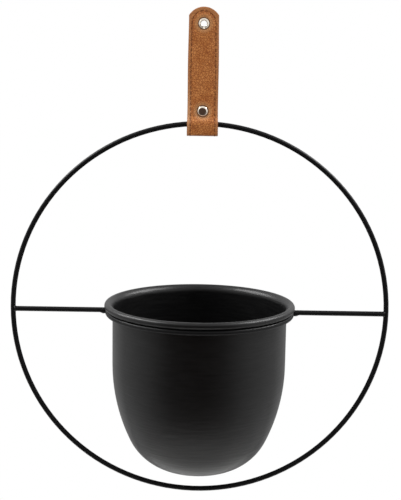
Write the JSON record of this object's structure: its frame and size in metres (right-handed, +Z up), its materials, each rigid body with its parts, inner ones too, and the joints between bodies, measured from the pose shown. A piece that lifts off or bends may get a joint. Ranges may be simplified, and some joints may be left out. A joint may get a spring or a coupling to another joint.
{
  "type": "hanging planter",
  "caption": "Wire ring hung from a folded leather strap with an eyelet, carrying a round metal pot that drops into a hoop on side bars.",
  "frame": {"origin": "middle of the hanging eyelet's hole, on its axis and halfway through the strap", "axes": "+Z up along the strap, +Y out of the back of the strap towards the wall, +X along the side bars"},
  "size_m": [0.3004, 0.1508, 0.3865],
  "materials": {
    "nickel": "polished nickel plate",
    "brown_leather": "fine pebbled grain, satin",
    "lining_leather": "smooth, matt",
    "thread": "waxed thread",
    "black_wire": "fine powder coat, satin",
    "black_pot": "satin paint"
  },
  "bodies": {
    "strap": {"hanging_eyelet": "nickel", "eyelet_washer": "nickel", "strap_face": "brown_leather", "strap_lining": "lining_leather", "stitching": "thread", "rivet_cap": "nickel", "rivet_post": "nickel"},
    "frame": {"ring": "black_wire", "pot_hoop": "black_wire", "left_bar": "black_wire", "right_bar": "black_wire", "left_ring_weld": "black_wire", "left_hoop_weld": "black_wire", "right_ring_weld": "black_wire", "right_hoop_weld": "black_wire"},
    "pot": {"pot": "black_pot"}
  },
  "joints": [
    {"name": "ring_swing", "type": "hinge", "parent": "strap", "child": "frame", "pos_m": [0, 0, -0.07585], "axis": [1, 0, 0], "range_deg": [-90, 90]},
    {"name": "pot_lift", "type": "slide", "parent": "frame", "child": "pot", "axis": [0, 0, 1], "range_m": [0, 0.118]}
  ]
}
